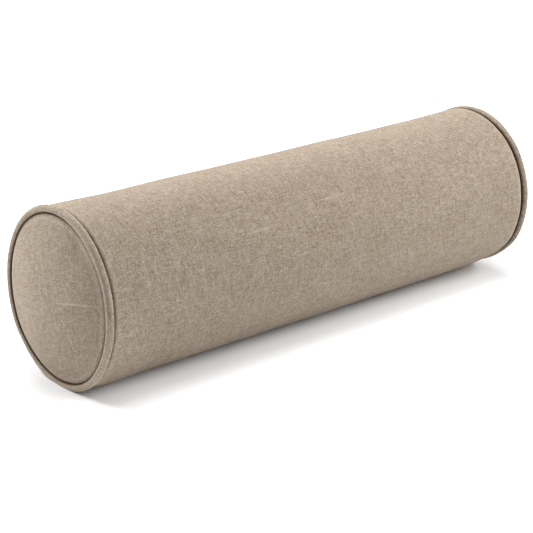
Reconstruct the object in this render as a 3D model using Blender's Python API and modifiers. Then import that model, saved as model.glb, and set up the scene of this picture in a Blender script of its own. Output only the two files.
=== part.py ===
"""A round bolster pillow: a linen cover with piped ends and a long zip along its back,
holding a removable insert of firm foam wrapped in wadding.

Metres, +Z up. The pillow lies along X on the plane z = 0, with the zip at the back, +Y.
"""

import math

import bmesh
import bpy
from mathutils import Matrix, Vector

# ---- Driving dimensions -------------------------------------------------------------
BODY_LENGTH = 0.660          # between the two piped seams
BODY_RADIUS = 0.100          # of the cover at mid length
END_FLARE = 0.0015           # how much its radius grows towards each piped seam
FLARE_LENGTH = 0.090         # how much of each end the flare takes
PIPING_DIAMETER = 0.009      # the covered piping, outside
PIPING_RISE = 0.0021         # how far the piping stands out past the flared cover
CROWN_HEIGHT = 0.0116        # how far the end panel bulges out past its own rim
PIPING_PRESS = 0.0030        # how far the pillow's weight presses its piping in underneath

CLOTH = 0.0010               # linen cover cloth
TICKING = 0.0006             # thin cotton case of the insert
WADDING = 0.0155             # wadding wrapped round the foam
END_WADDING = 0.0100         # flat part of the wadding pad over each end of the foam
SEAM_ALLOWANCE = 0.0065      # cloth turned in behind each piped seam
GAP = 0.0003                 # clearance between pieces that lie against each other

ZIP_MARGIN = 0.080           # of the back seam, sewn shut past each end of the zip
ZIP_ANGLE = math.radians(9)  # above the middle of the back
SLIT_WIDTH = 0.0032
COIL_DIAMETER = 0.0024
COIL_GAP = 0.0003            # between the two closed coil rows
COIL_DEPTH = 0.0045          # from the cover's surface down to the middle of the coils
TAPE_THICKNESS = 0.0006
TAPE_WIDTH = 0.0110
SLIDER_LENGTH = 0.013
SLIDER_WALL = 0.0008
SLIDER_CLEARANCE = 0.00025   # between the slider's flanges and the coil rows
SLIDER_PARK = 0.006          # from the lug of the closed slider to the end of the slit
COIL_PARTING = 0.0015        # how far each row moves out in the slider's mouth
POST_NOSE = 0.0006           # width of the slider's post at its nose
POST_HEEL = 0.0022           # and at the mouth
POST_INSET = 0.0015          # of the post's heel from the mouth
LUG_WIDTH = 0.0022
LUG_LENGTH = 0.008
LUG_ARCH = 0.0014            # length of each of the lug's two legs
LUG_BEVEL = 0.0003
PULL_LENGTH = 0.026
PULL_WIDTH = 0.0062
PULL_THICKNESS = 0.0012
PULL_LIFT = 0.0011           # of the pull's pivot above the cover's surface
PULL_CLEARANCE = 0.0008      # from the lug's end to the end of the pull's window
PULL_HOLE = 0.0024
STOP_LENGTH = 0.003
DENT_MARGIN = 0.006          # how far the zip's dent in the insert runs past the stops
DENT_FADE = 0.010            # and how far it takes to fade out
TAPE_RISE_LENGTH = 0.0036    # across the tape, from the coil's level up to the cover's

SIDES = 40                   # facets round the pillow; one corner lies at the very bottom
TUBE_SIDES = 8               # facets round the piping
CROWN_POWER = 2.2            # how flat the end panel's middle is
CROWN_EDGE = 1.9             # how round its shoulder is
SEAM_ANGLE = math.radians(68)  # how far down the piping's side the end panel meets it

# ---- Sizes worked out from them -----------------------------------------------------
SEAM_X = BODY_LENGTH / 2
ZIP_LENGTH = BODY_LENGTH - 2 * ZIP_MARGIN
END_RADIUS = BODY_RADIUS + END_FLARE
AXIS_HEIGHT = END_RADIUS + PIPING_RISE - PIPING_PRESS
PIPE_RADIUS = PIPING_DIAMETER / 2
RING_RADIUS = END_RADIUS + PIPING_RISE - PIPE_RADIUS
PIPE_REACH = PIPE_RADIUS + GAP            # how near the neighbours come to the piping
CORD_RADIUS = PIPE_RADIUS * math.cos(math.pi / TUBE_SIDES) - CLOTH - GAP
TAIL_HALF = CLOTH + GAP / 2               # half of the piping's two sewn tails
ALLOWANCE_RADIUS = RING_RADIUS - PIPE_REACH - SEAM_ALLOWANCE
RIM_X = SEAM_X + PIPE_REACH * math.cos(SEAM_ANGLE)
RIM_RADIUS = RING_RADIUS - PIPE_REACH * math.sin(SEAM_ANGLE)

CASE_RADIUS = BODY_RADIUS - CLOTH - GAP
CASE_END_X = SEAM_X - PIPE_REACH - CLOTH - GAP
CASE_X = CASE_END_X - TICKING - GAP
CASE_CROWN_RADIUS = ALLOWANCE_RADIUS - 3 * GAP
CASE_CROWN = RIM_X + CROWN_HEIGHT - CLOTH - 4 * GAP - CASE_END_X
WRAP_RADIUS = CASE_RADIUS - TICKING - GAP
FOAM_RADIUS = WRAP_RADIUS - WADDING
PAD_X = CASE_X                            # where the wadding pads' crowns begin
FOAM_X = PAD_X - END_WADDING
PAD_RADIUS = FOAM_RADIUS - 3 * GAP

COIL_RADIUS = COIL_DIAMETER / 2
COIL_LEVEL = BODY_RADIUS - COIL_DEPTH
COIL_SIDE = COIL_RADIUS + COIL_GAP / 2    # middle of a closed coil row, off the zip's line
COIL_OUT = COIL_SIDE + COIL_PARTING       # the same row, parted in the slider's mouth
TAPE_LEVEL = COIL_LEVEL - COIL_RADIUS - GAP - TAPE_THICKNESS / 2
TAPE_EDGE = POST_HEEL / 2 + 2 * GAP       # the tape stops short of the slider's post
SLIDER_TOP = COIL_LEVEL + COIL_RADIUS + GAP + SLIDER_WALL
SLIDER_FLOOR = TAPE_LEVEL - TAPE_THICKNESS / 2 - GAP
MOUTH_HALF = COIL_OUT + COIL_RADIUS + 2 * SLIDER_CLEARANCE + SLIDER_WALL
REAR_HALF = COIL_SIDE + COIL_RADIUS + 2 * SLIDER_CLEARANCE + SLIDER_WALL
SLIDER_X = ZIP_LENGTH / 2 - LUG_LENGTH / 2 - SLIDER_PARK   # middle of the closed slider
PIVOT_LEVEL = BODY_RADIUS + PULL_LIFT
DENT_X = ZIP_LENGTH / 2 + DENT_MARGIN

LINEN = ((0.335, 0.262, 0.205), 0.85, 0.0)
COTTON = ((0.72, 0.69, 0.63), 0.80, 0.0)
POLYESTER = ((0.80, 0.80, 0.78), 0.90, 0.0)
FOAM = ((0.75, 0.68, 0.48), 0.90, 0.0)
TAPE = ((0.30, 0.24, 0.19), 0.70, 0.0)
NYLON = ((0.26, 0.21, 0.165), 0.40, 0.0)
BRONZE = ((0.32, 0.24, 0.16), 0.35, 1.0)


# ---- Scene and small helpers --------------------------------------------------------
for old in list(bpy.data.objects):
    bpy.data.objects.remove(old, do_unlink=True)

pillow = bpy.data.collections.new("bolster_pillow")
cutters = bpy.data.collections.new("cutters")
cutters.hide_render = True
for group in (pillow, cutters):
    bpy.context.scene.collection.children.link(group)


def material(name, look):
    """A plain Principled material of one colour, roughness and metallic value."""
    colour, roughness, metallic = look
    made = bpy.data.materials.new(name)
    made.use_nodes = True
    shader = made.node_tree.nodes["Principled BSDF"]
    shader.inputs["Base Color"].default_value = (*colour, 1.0)
    shader.inputs["Roughness"].default_value = roughness
    shader.inputs["Metallic"].default_value = metallic
    return made


def add_object(name, mesh, group, look=None):
    obj = bpy.data.objects.new(name, mesh)
    group.objects.link(obj)
    if look:
        mesh.materials.clear()
        mesh.materials.append(material(name, look))
    else:
        obj.hide_render = True
        obj.display_type = "WIRE"
    return obj


def baked(obj):
    """Replaces an object's mesh with its evaluated one, modifiers and place included."""
    bpy.context.view_layer.update()
    seen = obj.evaluated_get(bpy.context.evaluated_depsgraph_get())
    mesh = bpy.data.meshes.new_from_object(seen)
    mesh.transform(obj.matrix_world)
    if obj.type != "MESH":
        raise TypeError(obj.name + " is not a mesh")
    obj.modifiers.clear()
    obj.matrix_world = Matrix.Identity(4)
    obj.data = mesh
    return obj


def outline_mesh(name, points, closed):
    """A chain of edges through the points, for a Screw modifier to turn."""
    mesh = bpy.data.meshes.new(name)
    bm = bmesh.new()
    corners = [bm.verts.new(point) for point in points]
    for first, second in zip(corners, corners[1:]):
        bm.edges.new((first, second))
    if closed:
        bm.edges.new((corners[-1], corners[0]))
    bm.to_mesh(mesh)
    bm.free()
    return mesh


def smoothed(share):
    share = min(max(share, 0.0), 1.0)
    return share * share * (3 - 2 * share)


def body_radius(x):
    """The cover's radius at x: straight in the middle, flared near the seams."""
    start = SEAM_X - FLARE_LENGTH
    share = smoothed((abs(x) - start) / (FLARE_LENGTH - PIPE_RADIUS))
    return BODY_RADIUS + (END_RADIUS - BODY_RADIUS) * share


def skin(x):
    """The radius of the outermost surface at x, the piping included."""
    near = 3.5 * PIPE_RADIUS
    share = smoothed((abs(x) - (SEAM_X - near)) / (near - PIPE_RADIUS))
    return body_radius(x) + PIPING_RISE * share


def settle(obj):
    """Flattens the bottom of every layer, two facets wide, so that cover and piping rest on
    one plane. What the outer skin moves, the layers inside move less towards the axis."""
    flat_angle = 1.5 * 2 * math.pi / SIDES
    for vertex in obj.data.vertices:
        x, y, z = vertex.co
        radius = math.hypot(y, z)
        if abs(math.atan2(y, -z)) < flat_angle:
            lift = (skin(x) - AXIS_HEIGHT) * (radius / skin(x)) ** 2
            vertex.co.z = lift - radius


def turned(name, outline, look, thickness=0.0, mirror=False, dent=False):
    """Turns an outline of (x, radius) points about X. With a thickness the outline is the
    outer skin of a layer; without one it is the closed or axis-to-axis edge of a solid."""
    on_axis = outline[0][1] == 0.0
    closed = not thickness and not on_axis
    points = [(x, 0.0, -radius) for x, radius in outline]
    obj = add_object(name, outline_mesh(name, points, closed), pillow, look)
    screw = obj.modifiers.new("turn", "SCREW")
    screw.axis = "X"
    screw.steps = screw.render_steps = SIDES
    screw.use_merge_vertices = True
    screw.merge_threshold = 0.00001
    screw.use_smooth_shade = True
    baked(obj)
    bm = bmesh.new()
    bm.from_mesh(obj.data)
    bmesh.ops.remove_doubles(bm, verts=bm.verts, dist=0.00001)
    bmesh.ops.recalc_face_normals(bm, faces=bm.faces)
    bm.to_mesh(obj.data)
    bm.free()
    if thickness:
        face_outwards(obj, outline)
        shell = obj.modifiers.new("cloth", "SOLIDIFY")
        shell.thickness = thickness
        shell.offset = -1
        shell.use_even_offset = True
        baked(obj)
    if dent:
        dent_for_zip(obj)
    settle(obj)
    obj.location.z = AXIS_HEIGHT
    if mirror:
        mirrored(obj)
    return obj


def face_outwards(obj, outline):
    """Makes an open turned skin face away from the side that its thickness goes to. With
    X to the right and the radius up, the outer side is the left of the outline's travel."""
    (x0, r0), (x1, r1) = outline[:2]
    outward = Vector((r0 - r1, 0.0, -(x1 - x0)))
    middle = Vector(((x0 + x1) / 2, 0.0, -(r0 + r1) / 2))
    nearest = min(obj.data.polygons, key=lambda face: (face.center - middle).length)
    if nearest.normal.dot(outward) < 0:
        obj.data.flip_normals()


def mirrored(obj):
    """Turns a right-hand end piece into its left-hand twin."""
    obj.data.transform(Matrix.Scale(-1, 4, (1, 0, 0)))
    obj.data.flip_normals()


def dent_for_zip(obj):
    """Pushes the insert in along the zip, where the slider and the coils press on it. The
    dent is one corner deep and two facets wide, and it clears the slider's widest place."""
    facet = 2 * math.pi / SIDES
    share = MOUTH_HALF / (CASE_RADIUS * math.sin(facet))
    slider_low = SLIDER_FLOOR - SLIDER_WALL - 2 * GAP
    beside = CASE_RADIUS * math.cos(facet)
    dent = CASE_RADIUS - (slider_low - share * beside) / (1 - share)
    for vertex in obj.data.vertices:
        x, y, z = vertex.co
        radius = math.hypot(y, z)
        on_line = abs(math.atan2(z, y) - ZIP_ANGLE) < facet / 2
        if on_line and abs(x) < DENT_X + GAP and radius > FOAM_RADIUS + 2 * GAP:
            vertex.co.yz = (y * (1 - dent / radius), z * (1 - dent / radius))


def stations():
    """The lengthwise places where every long layer has a ring of corners, middle to end."""
    flare = [SEAM_X - FLARE_LENGTH * share for share in (1.0, 0.45, 0.2)]
    return sorted(flare + [DENT_X, DENT_X + DENT_FADE])


def crown(rim_x, rim_radius, height, rings=(1.0, 0.94, 0.75, 0.4, 0.0)):
    """A crowned end, from its rim to its middle, with a ring of corners at each share."""
    points = []
    for share in rings:
        bulge = (1 - share**CROWN_POWER) ** (1 / CROWN_EDGE)
        points.append((rim_x + height * bulge, rim_radius * share))
    return points


def place_on_zip(obj):
    """Takes a piece modelled at the back's middle round to the zip's line."""
    turn = Matrix.Rotation(ZIP_ANGLE, 4, "X")
    obj.matrix_world = Matrix.Translation((0, 0, AXIS_HEIGHT)) @ turn @ obj.matrix_world
    return obj


def box(name, low, high, group, look=None):
    """A box from its lowest to its highest corner, made from a unit cube."""
    mesh = bpy.data.meshes.new(name)
    bm = bmesh.new()
    bmesh.ops.create_cube(bm, size=1)
    low, high = Vector(low), Vector(high)
    bmesh.ops.scale(bm, vec=high - low, verts=bm.verts)
    bmesh.ops.translate(bm, vec=(low + high) / 2, verts=bm.verts)
    bm.to_mesh(mesh)
    bm.free()
    return add_object(name, mesh, group, look)


def slab(name, outline, low, high, group, look=None):
    """An (x, across) outline filled and raised outwards from the level low to high."""
    mesh = bpy.data.meshes.new(name)
    bm = bmesh.new()
    face = bm.faces.new([bm.verts.new((x, low, across)) for x, across in outline])
    raised = bmesh.ops.extrude_face_region(bm, geom=[face])["geom"]
    raised = [item for item in raised if isinstance(item, bmesh.types.BMVert)]
    bmesh.ops.translate(bm, vec=(0, high - low, 0), verts=raised)
    bmesh.ops.recalc_face_normals(bm, faces=bm.faces)
    bm.to_mesh(mesh)
    bm.free()
    return add_object(name, mesh, group, look)


def combine(obj, other, operation):
    step = obj.modifiers.new(operation.lower(), "BOOLEAN")
    step.operation = operation
    step.solver = "EXACT"
    step.object = other
    baked(obj)
    bpy.data.objects.remove(other, do_unlink=True)
    return obj


# ---- The cover ----------------------------------------------------------------------
def make_cover_sleeve():
    """The long tube of cloth, turned in at both seams, with the slit that the zip closes."""
    half = [(x, body_radius(x)) for x in stations()]
    half += [
        (SEAM_X - PIPE_REACH - 1.5 * CLOTH, END_RADIUS),
        (SEAM_X - PIPE_REACH - 0.3 * CLOTH, END_RADIUS - 0.4 * CLOTH),
        (SEAM_X - PIPE_REACH, RING_RADIUS),
        (SEAM_X - PIPE_REACH * 0.75, RING_RADIUS - PIPE_REACH * 0.70),
        (SEAM_X - TAIL_HALF - GAP, RING_RADIUS - PIPE_REACH),
        (SEAM_X - TAIL_HALF - GAP, ALLOWANCE_RADIUS),
    ]
    outline = [(-x, radius) for x, radius in half[::-1]] + half
    sleeve = turned("cover_sleeve", outline, LINEN, thickness=CLOTH)
    slit = place_on_zip(
        box(
            "slit",
            (-ZIP_LENGTH / 2, BODY_RADIUS - 4 * CLOTH, -SLIT_WIDTH / 2),
            (ZIP_LENGTH / 2, BODY_RADIUS + 2 * CLOTH, SLIT_WIDTH / 2),
            cutters,
        )
    )
    combine(sleeve, slit, "DIFFERENCE")


def make_end_panel(name, mirror):
    """A crowned disc of cloth whose edge folds back behind itself into the seam."""
    outline = [
        (SEAM_X + TAIL_HALF + GAP, ALLOWANCE_RADIUS),
        (SEAM_X + TAIL_HALF + GAP, RING_RADIUS - PIPE_REACH),
    ]
    shown = (1.0, 0.985, 0.94, 0.86, 0.72, 0.5, 0.25, 0.0)
    outline += crown(RIM_X, RIM_RADIUS, CROWN_HEIGHT, shown)
    turned(name, outline, LINEN, thickness=CLOTH, mirror=mirror)


def make_piping_cover(name, mirror):
    """A strip of cloth folded round the piping cord, with its two tails in the seam."""
    opening = math.asin(TAIL_HALF / PIPE_RADIUS)
    start, sweep = -math.pi / 2 - opening, 2 * (math.pi - opening)
    outline = [(SEAM_X - TAIL_HALF, ALLOWANCE_RADIUS)]
    for step in range(TUBE_SIDES + 1):
        angle = start - sweep * step / TUBE_SIDES
        outline.append(
            (
                SEAM_X + PIPE_RADIUS * math.cos(angle),
                RING_RADIUS + PIPE_RADIUS * math.sin(angle),
            )
        )
    outline.append((SEAM_X + TAIL_HALF, ALLOWANCE_RADIUS))
    turned(name, outline, LINEN, thickness=CLOTH, mirror=mirror)


def make_piping_cord(name, mirror):
    """The cotton cord inside the piping, a closed ring."""
    outline = []
    for step in range(TUBE_SIDES):
        angle = -2 * math.pi * (step + 0.5) / TUBE_SIDES
        x = SEAM_X + CORD_RADIUS * math.sin(angle)
        outline.append((x, RING_RADIUS + CORD_RADIUS * math.cos(angle)))
    turned(name, outline, COTTON, mirror=mirror)


# ---- The insert ---------------------------------------------------------------------
def make_insert():
    """A thin cotton case round wadding round a firm foam roll."""
    right = stations()
    middle = [-x for x in right[::-1]] + right
    along = [-CASE_X] + middle + [CASE_X]
    case = [(x, CASE_RADIUS) for x in along]
    turned("insert_case", case, COTTON, thickness=TICKING, dent=True)
    wrap = [(x, WRAP_RADIUS) for x in along]
    wrap += [(x, FOAM_RADIUS + GAP) for x in along[::-1]]
    turned("wadding_wrap", wrap, POLYESTER, dent=True)
    roll = [(-FOAM_X, 0.0)] + [(x, FOAM_RADIUS) for x in [-FOAM_X] + middle + [FOAM_X]]
    turned("foam_core", roll + [(FOAM_X, 0.0)], FOAM)
    for side, mirror in (("left", True), ("right", False)):
        end = [(CASE_END_X, CASE_RADIUS)]
        end += crown(CASE_END_X, CASE_CROWN_RADIUS, CASE_CROWN)
        name = "insert_" + side + "_end"
        turned(name, end, COTTON, thickness=TICKING, mirror=mirror)
        pad_crown = CASE_CROWN - 2 * GAP
        pad = [(FOAM_X + GAP, 0.0), (FOAM_X + GAP, PAD_RADIUS)]
        pad += crown(PAD_X, PAD_RADIUS, pad_crown)
        turned(side + "_wadding_pad", pad, POLYESTER, mirror=mirror)


# ---- The zip ------------------------------------------------------------------------
def make_tape(name, side):
    """A woven tape: flat under the coil, then rising to lie inside the cover's cloth."""
    flat = MOUTH_HALF + 2 * GAP
    rise = COIL_DEPTH - CLOTH - GAP - TAPE_THICKNESS / 2
    level_at = COIL_LEVEL + rise
    corner = math.tan(math.pi / SIDES)
    edge = TAPE_EDGE + TAPE_WIDTH
    risen = flat + TAPE_RISE_LENGTH
    path = [
        (TAPE_EDGE, TAPE_LEVEL),
        (flat, TAPE_LEVEL),
        (risen, level_at - risen * corner - GAP),
        (edge, level_at - edge * corner - GAP),
    ]
    half = ZIP_LENGTH / 2 + 2 * STOP_LENGTH
    points = [(-half, level, side * across) for across, level in path]
    mesh = outline_mesh(name, points, False)
    bm = bmesh.new()
    bm.from_mesh(mesh)
    drawn = bmesh.ops.extrude_edge_only(bm, edges=bm.edges)["geom"]
    drawn = [item for item in drawn if isinstance(item, bmesh.types.BMVert)]
    bmesh.ops.translate(bm, vec=(2 * half, 0, 0), verts=drawn)
    bm.to_mesh(mesh)
    bm.free()
    tape = add_object(name, mesh, pillow, TAPE)
    weave = tape.modifiers.new("thickness", "SOLIDIFY")
    weave.thickness = TAPE_THICKNESS
    weave.offset = 0
    weave.use_even_offset = True
    tidy(place_on_zip(baked(tape)))


def tidy(obj):
    """Gives a closed piece outward normals once it is in place."""
    baked(obj)
    bm = bmesh.new()
    bm.from_mesh(obj.data)
    bmesh.ops.recalc_face_normals(bm, faces=bm.faces)
    bm.to_mesh(obj.data)
    bm.free()
    return obj


def make_coil(name, side):
    """A row of coil, straight while closed and parting inside the slider."""
    start = -ZIP_LENGTH / 2 + STOP_LENGTH + 2 * GAP
    part = SLIDER_X - SLIDER_LENGTH / 2 + POST_INSET
    open_by = SLIDER_X + SLIDER_LENGTH / 2 - GAP
    path = [(start, COIL_SIDE), (part, COIL_SIDE), (open_by, COIL_OUT)]
    path.append((SLIDER_X + SLIDER_LENGTH / 2 + STOP_LENGTH, COIL_OUT))
    curve = bpy.data.curves.new(name, "CURVE")
    curve.dimensions = "3D"
    curve.bevel_depth = COIL_RADIUS
    curve.bevel_resolution = 2
    curve.use_fill_caps = True
    row = curve.splines.new("POLY")
    row.points.add(len(path) - 1)
    for point, (x, across) in zip(row.points, path):
        point.co = (x, COIL_LEVEL, side * across, 1)
    coil = bpy.data.objects.new(name, curve)
    pillow.objects.link(coil)
    curve.materials.append(material(name, NYLON))
    place_on_zip(coil)


def make_stops():
    """A clip that bridges the closed end, and one on each row past the slider."""
    low, high = COIL_LEVEL - COIL_RADIUS, COIL_LEVEL + COIL_RADIUS + GAP
    out = COIL_SIDE + COIL_RADIUS + GAP
    start = -ZIP_LENGTH / 2 + GAP
    end = start + STOP_LENGTH
    wide, top = out + SLIDER_WALL, high + SLIDER_WALL
    clip = box("zip_bottom_stop", (start, low, -wide), (end, top, wide), pillow, BRONZE)
    wall = SLIDER_WALL
    groove = box("groove", (start + wall, low - wall, -out), (end + wall, high, out), cutters)
    place_on_zip(combine(clip, groove, "DIFFERENCE"))
    at = SLIDER_X + SLIDER_LENGTH / 2 + STOP_LENGTH + GAP
    for name, side in (("upper", 1), ("lower", -1)):
        across = sorted((side * (COIL_OUT - COIL_RADIUS), side * (COIL_OUT + COIL_RADIUS)))
        corner = (at, low, across[0])
        far = (at + STOP_LENGTH, high, across[1])
        place_on_zip(box("zip_top_stop_" + name, corner, far, pillow, BRONZE))


def wedge(rear, mouth, extra=0.0):
    """The slider's outline, narrow at the closed side and wide at its mouth."""
    half = SLIDER_LENGTH / 2 + extra
    x0, x1 = SLIDER_X - half, SLIDER_X + half
    return [(x0, -rear), (x1, -mouth), (x1, mouth), (x0, rear)]


def make_slider():
    """Two plates joined by a post, flanges that hold the coils, and a lug for the pull."""
    floor_low = SLIDER_FLOOR - SLIDER_WALL
    body = slab("zip_slider", wedge(REAR_HALF, MOUTH_HALF), floor_low, SLIDER_TOP, pillow, BRONZE)
    inside = wedge(REAR_HALF - SLIDER_WALL, MOUTH_HALF - SLIDER_WALL, GAP)
    roof = SLIDER_TOP - SLIDER_WALL
    combine(body, slab("channel", inside, SLIDER_FLOOR, roof, cutters), "DIFFERENCE")
    beside = SLIDER_LENGTH
    slot = box(
        "tape_slot",
        (SLIDER_X - beside, SLIDER_FLOOR, -beside),
        (SLIDER_X + beside, TAPE_LEVEL + TAPE_THICKNESS / 2 + GAP, beside),
        cutters,
    )
    combine(body, slot, "DIFFERENCE")
    nose, heel = POST_NOSE / 2, POST_HEEL / 2
    mouth_x = SLIDER_X + SLIDER_LENGTH / 2 - POST_INSET
    post = [(SLIDER_X, -nose), (mouth_x, -heel), (mouth_x, heel), (SLIDER_X, nose)]
    sunk = SLIDER_WALL / 2
    combine(body, slab("post", post, SLIDER_FLOOR - sunk, roof + sunk, cutters), "UNION")
    combine(body, make_lug(), "UNION")
    place_on_zip(body)


def make_lug():
    """The arch on the slider's top plate that the pull's bar goes through."""
    half, across = LUG_LENGTH / 2, LUG_WIDTH / 2
    reach = PULL_THICKNESS / 2 + GAP
    top = PIVOT_LEVEL + reach + SLIDER_WALL
    low = SLIDER_TOP - SLIDER_WALL / 2
    lug = box("lug", (SLIDER_X - half, low, -across), (SLIDER_X + half, top, across), cutters)
    eye = box(
        "eye",
        (SLIDER_X - half + LUG_ARCH, PIVOT_LEVEL - reach, -2 * across),
        (SLIDER_X + half - LUG_ARCH, PIVOT_LEVEL + reach, 2 * across),
        cutters,
    )
    lug = combine(lug, eye, "DIFFERENCE")
    edge = lug.modifiers.new("soft_edges", "BEVEL")
    edge.width = LUG_BEVEL
    edge.segments = 1
    edge.limit_method = "ANGLE"
    return baked(lug)


def make_pull():
    """A flat tab with a window, whose end bar turns in the slider's lug. It lies back
    over the closed coils, towards -X."""
    across, bar = PULL_WIDTH / 2, PULL_THICKNESS / 2
    window = LUG_WIDTH / 2 + GAP
    shoulder = LUG_LENGTH / 2 + PULL_CLEARANCE
    tip = PULL_LENGTH
    outline = [(-shoulder, -across), (-tip * 0.85, -across * 0.80)]
    outline += [(-tip, -across * 0.45), (-tip, across * 0.45)]
    outline += [(-tip * 0.85, across * 0.80), (-shoulder, across), (0.0, across), (0.0, -across)]
    outline = [(SLIDER_X + x, side) for x, side in outline]
    low, high = PIVOT_LEVEL - bar, PIVOT_LEVEL + bar
    tab = slab("zip_pull", outline, low, high, pillow, BRONZE)
    opening = box(
        "opening",
        (SLIDER_X - shoulder, low - bar, -window),
        (SLIDER_X + bar, high + bar, window),
        cutters,
    )
    combine(tab, opening, "DIFFERENCE")
    combine(tab, rod("bar", bar, 2 * across), "UNION")
    hole = rod("hang_hole", PULL_HOLE / 2, 4 * across, standing=True)
    combine(tab, hole, "DIFFERENCE")
    place_on_zip(tab)


def rod(name, radius, length, standing=False):
    """A round bar across the zip at the pivot, or a standing one near the pull's tip."""
    mesh = bpy.data.meshes.new(name)
    bm = bmesh.new()
    bmesh.ops.create_cone(
        bm, cap_ends=True, segments=12, radius1=radius, radius2=radius, depth=length
    )
    if standing:
        bmesh.ops.rotate(bm, matrix=Matrix.Rotation(math.pi / 2, 3, "X"), verts=bm.verts)
    x = SLIDER_X - (PULL_LENGTH * 0.87 if standing else 0.0)
    bmesh.ops.translate(bm, vec=(x, PIVOT_LEVEL, 0), verts=bm.verts)
    bm.to_mesh(mesh)
    bm.free()
    return add_object(name, mesh, cutters)


make_cover_sleeve()
for side_name, is_left in (("left", True), ("right", False)):
    make_end_panel(side_name + "_end_panel", is_left)
    make_piping_cover(side_name + "_piping_cover", is_left)
    make_piping_cord(side_name + "_piping_cord", is_left)
make_insert()
for row_name, row_side in (("upper", 1), ("lower", -1)):
    make_tape("zip_tape_" + row_name, row_side)
    make_coil("zip_coil_" + row_name, row_side)
make_stops()
make_slider()
make_pull()
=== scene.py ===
# %% [markdown]
# # A linen bolster pillow
#
# This lesson dresses a finished model of a round bolster pillow. The model's solids
# already have the right sizes and places. Here they get cloth that is rolled, sewn and
# filled as a maker would do it, and finishes that show the weave.
#
# The first cell loads the model.

# %% Load the model
import math

import bmesh
import bpy
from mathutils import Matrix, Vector, noise


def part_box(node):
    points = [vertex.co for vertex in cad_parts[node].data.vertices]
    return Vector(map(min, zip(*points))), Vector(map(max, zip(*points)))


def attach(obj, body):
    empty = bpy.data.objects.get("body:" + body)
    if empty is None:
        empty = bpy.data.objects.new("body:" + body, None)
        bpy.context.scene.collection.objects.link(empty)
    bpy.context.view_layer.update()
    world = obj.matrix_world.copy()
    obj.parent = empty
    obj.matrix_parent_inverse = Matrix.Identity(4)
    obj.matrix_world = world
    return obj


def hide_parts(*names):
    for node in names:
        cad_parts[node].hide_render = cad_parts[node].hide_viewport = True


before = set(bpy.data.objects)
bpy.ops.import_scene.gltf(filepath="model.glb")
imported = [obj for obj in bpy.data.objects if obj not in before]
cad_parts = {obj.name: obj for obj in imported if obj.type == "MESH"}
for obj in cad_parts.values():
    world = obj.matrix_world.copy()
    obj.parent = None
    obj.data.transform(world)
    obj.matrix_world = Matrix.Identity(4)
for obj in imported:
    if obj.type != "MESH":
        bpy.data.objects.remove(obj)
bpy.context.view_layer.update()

# %% [markdown]
# ## The sizes everything is cut to
#
# A maker measures the form before cutting cloth. The seam, the radii and the height of
# the pillow's axis are read from the model's own pieces. Only what the model can't say,
# such as the thickness of the linen, is set here.

# %% Measure the form
MM = 0.001
sleeve_low, sleeve_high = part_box("cover_sleeve")
pipe_low, pipe_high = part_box("right_piping_cover")
panel_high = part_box("right_end_panel")[1]
slider_low, slider_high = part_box("zip_slider")
tape_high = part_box("zip_tape_upper")[1]

END_RADIUS = (sleeve_high.y - sleeve_low.y) / 2
RING_OUTER = (pipe_high.y - pipe_low.y) / 2
SEAM_X = (pipe_low.x + pipe_high.x) / 2
AXIS_Z = pipe_high.z - RING_OUTER
PIPE_RADIUS = 4.5 * MM
RING_RADIUS = RING_OUTER - PIPE_RADIUS
END_FLARE = 1.5 * MM
BODY_RADIUS = END_RADIUS - END_FLARE
FLARE_LENGTH = 90 * MM
CLOTH = 0.7 * MM
ZIP_ANGLE = math.radians(9)
ZIP_HALF = tape_high.x - 6 * MM
SLIT_HALF = 1.6 * MM
RIM_X = SEAM_X + 1.8 * MM
RIM_RADIUS = RING_RADIUS - 4.45 * MM
PANEL_CROWN = panel_high.x - RIM_X + 4.9 * MM
print("seam", round(SEAM_X, 4), "axis", round(AXIS_Z, 4), "zip half", round(ZIP_HALF, 4))

# %% [markdown]
# ## Small hands
#
# A few helpers are used for every piece. An operator works on whatever is selected, so
# each piece starts with nothing selected. `finish_piece` names a piece, gives it its
# finish and says which moving part carries it.

# %% Helpers for pieces
def deselect():
    bpy.ops.object.select_all(action="DESELECT")


def take(obj):
    """Makes obj the only selected and the active object."""
    deselect()
    obj.select_set(True)
    bpy.context.view_layer.objects.active = obj
    return obj


def apply_modifier(obj, kind, **settings):
    take(obj)
    step = obj.modifiers.new("step", kind)
    for key, value in settings.items():
        setattr(step, key, value)
    bpy.ops.object.modifier_apply(modifier=step.name)


def finish_piece(obj, name, finish, body="pillow", stands_for=()):
    obj.name = obj.data.name = name
    obj.data.materials.clear()
    obj.data.materials.append(finish)
    take(obj)
    bpy.ops.object.shade_smooth()
    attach(obj, body)
    if stands_for:
        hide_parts(*stands_for)
    print(name, len(obj.data.polygons), "faces")


def from_bmesh(name, bm):
    """Turns a finished bmesh into an object, with its faces pointing out."""
    bmesh.ops.recalc_face_normals(bm, faces=bm.faces)
    mesh = bpy.data.meshes.new(name)
    bm.to_mesh(mesh)
    bm.free()
    obj = bpy.data.objects.new(name, mesh)
    bpy.context.scene.collection.objects.link(obj)
    return obj


def smooth_step(share):
    share = min(max(share, 0.0), 1.0)
    return share * share * (3 - 2 * share)


def body_radius(x):
    """The cover's radius at x, straight in the middle and flared near the seams."""
    start = SEAM_X - FLARE_LENGTH
    return BODY_RADIUS + END_FLARE * smooth_step((abs(x) - start) / (FLARE_LENGTH - PIPE_RADIUS))


LEAN_ACROSS = math.tan(math.radians(3.0))
LEAN_UP = {-1: math.tan(math.radians(1.5)), 1: math.tan(math.radians(2.1))}
PRESSED_IN = {-1: 0.0, 1: 1.0 * MM}
TUCKED_UNDER = {-1: 2.6 * MM, 1: 4.4 * MM}
LIFTED = {-1: 0.0, 1: 5.0 * MM}
SAG, SAG_INSIDE, SAG_SLOPE = 0.6 * MM, 2.2 * MM, 0.005


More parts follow.
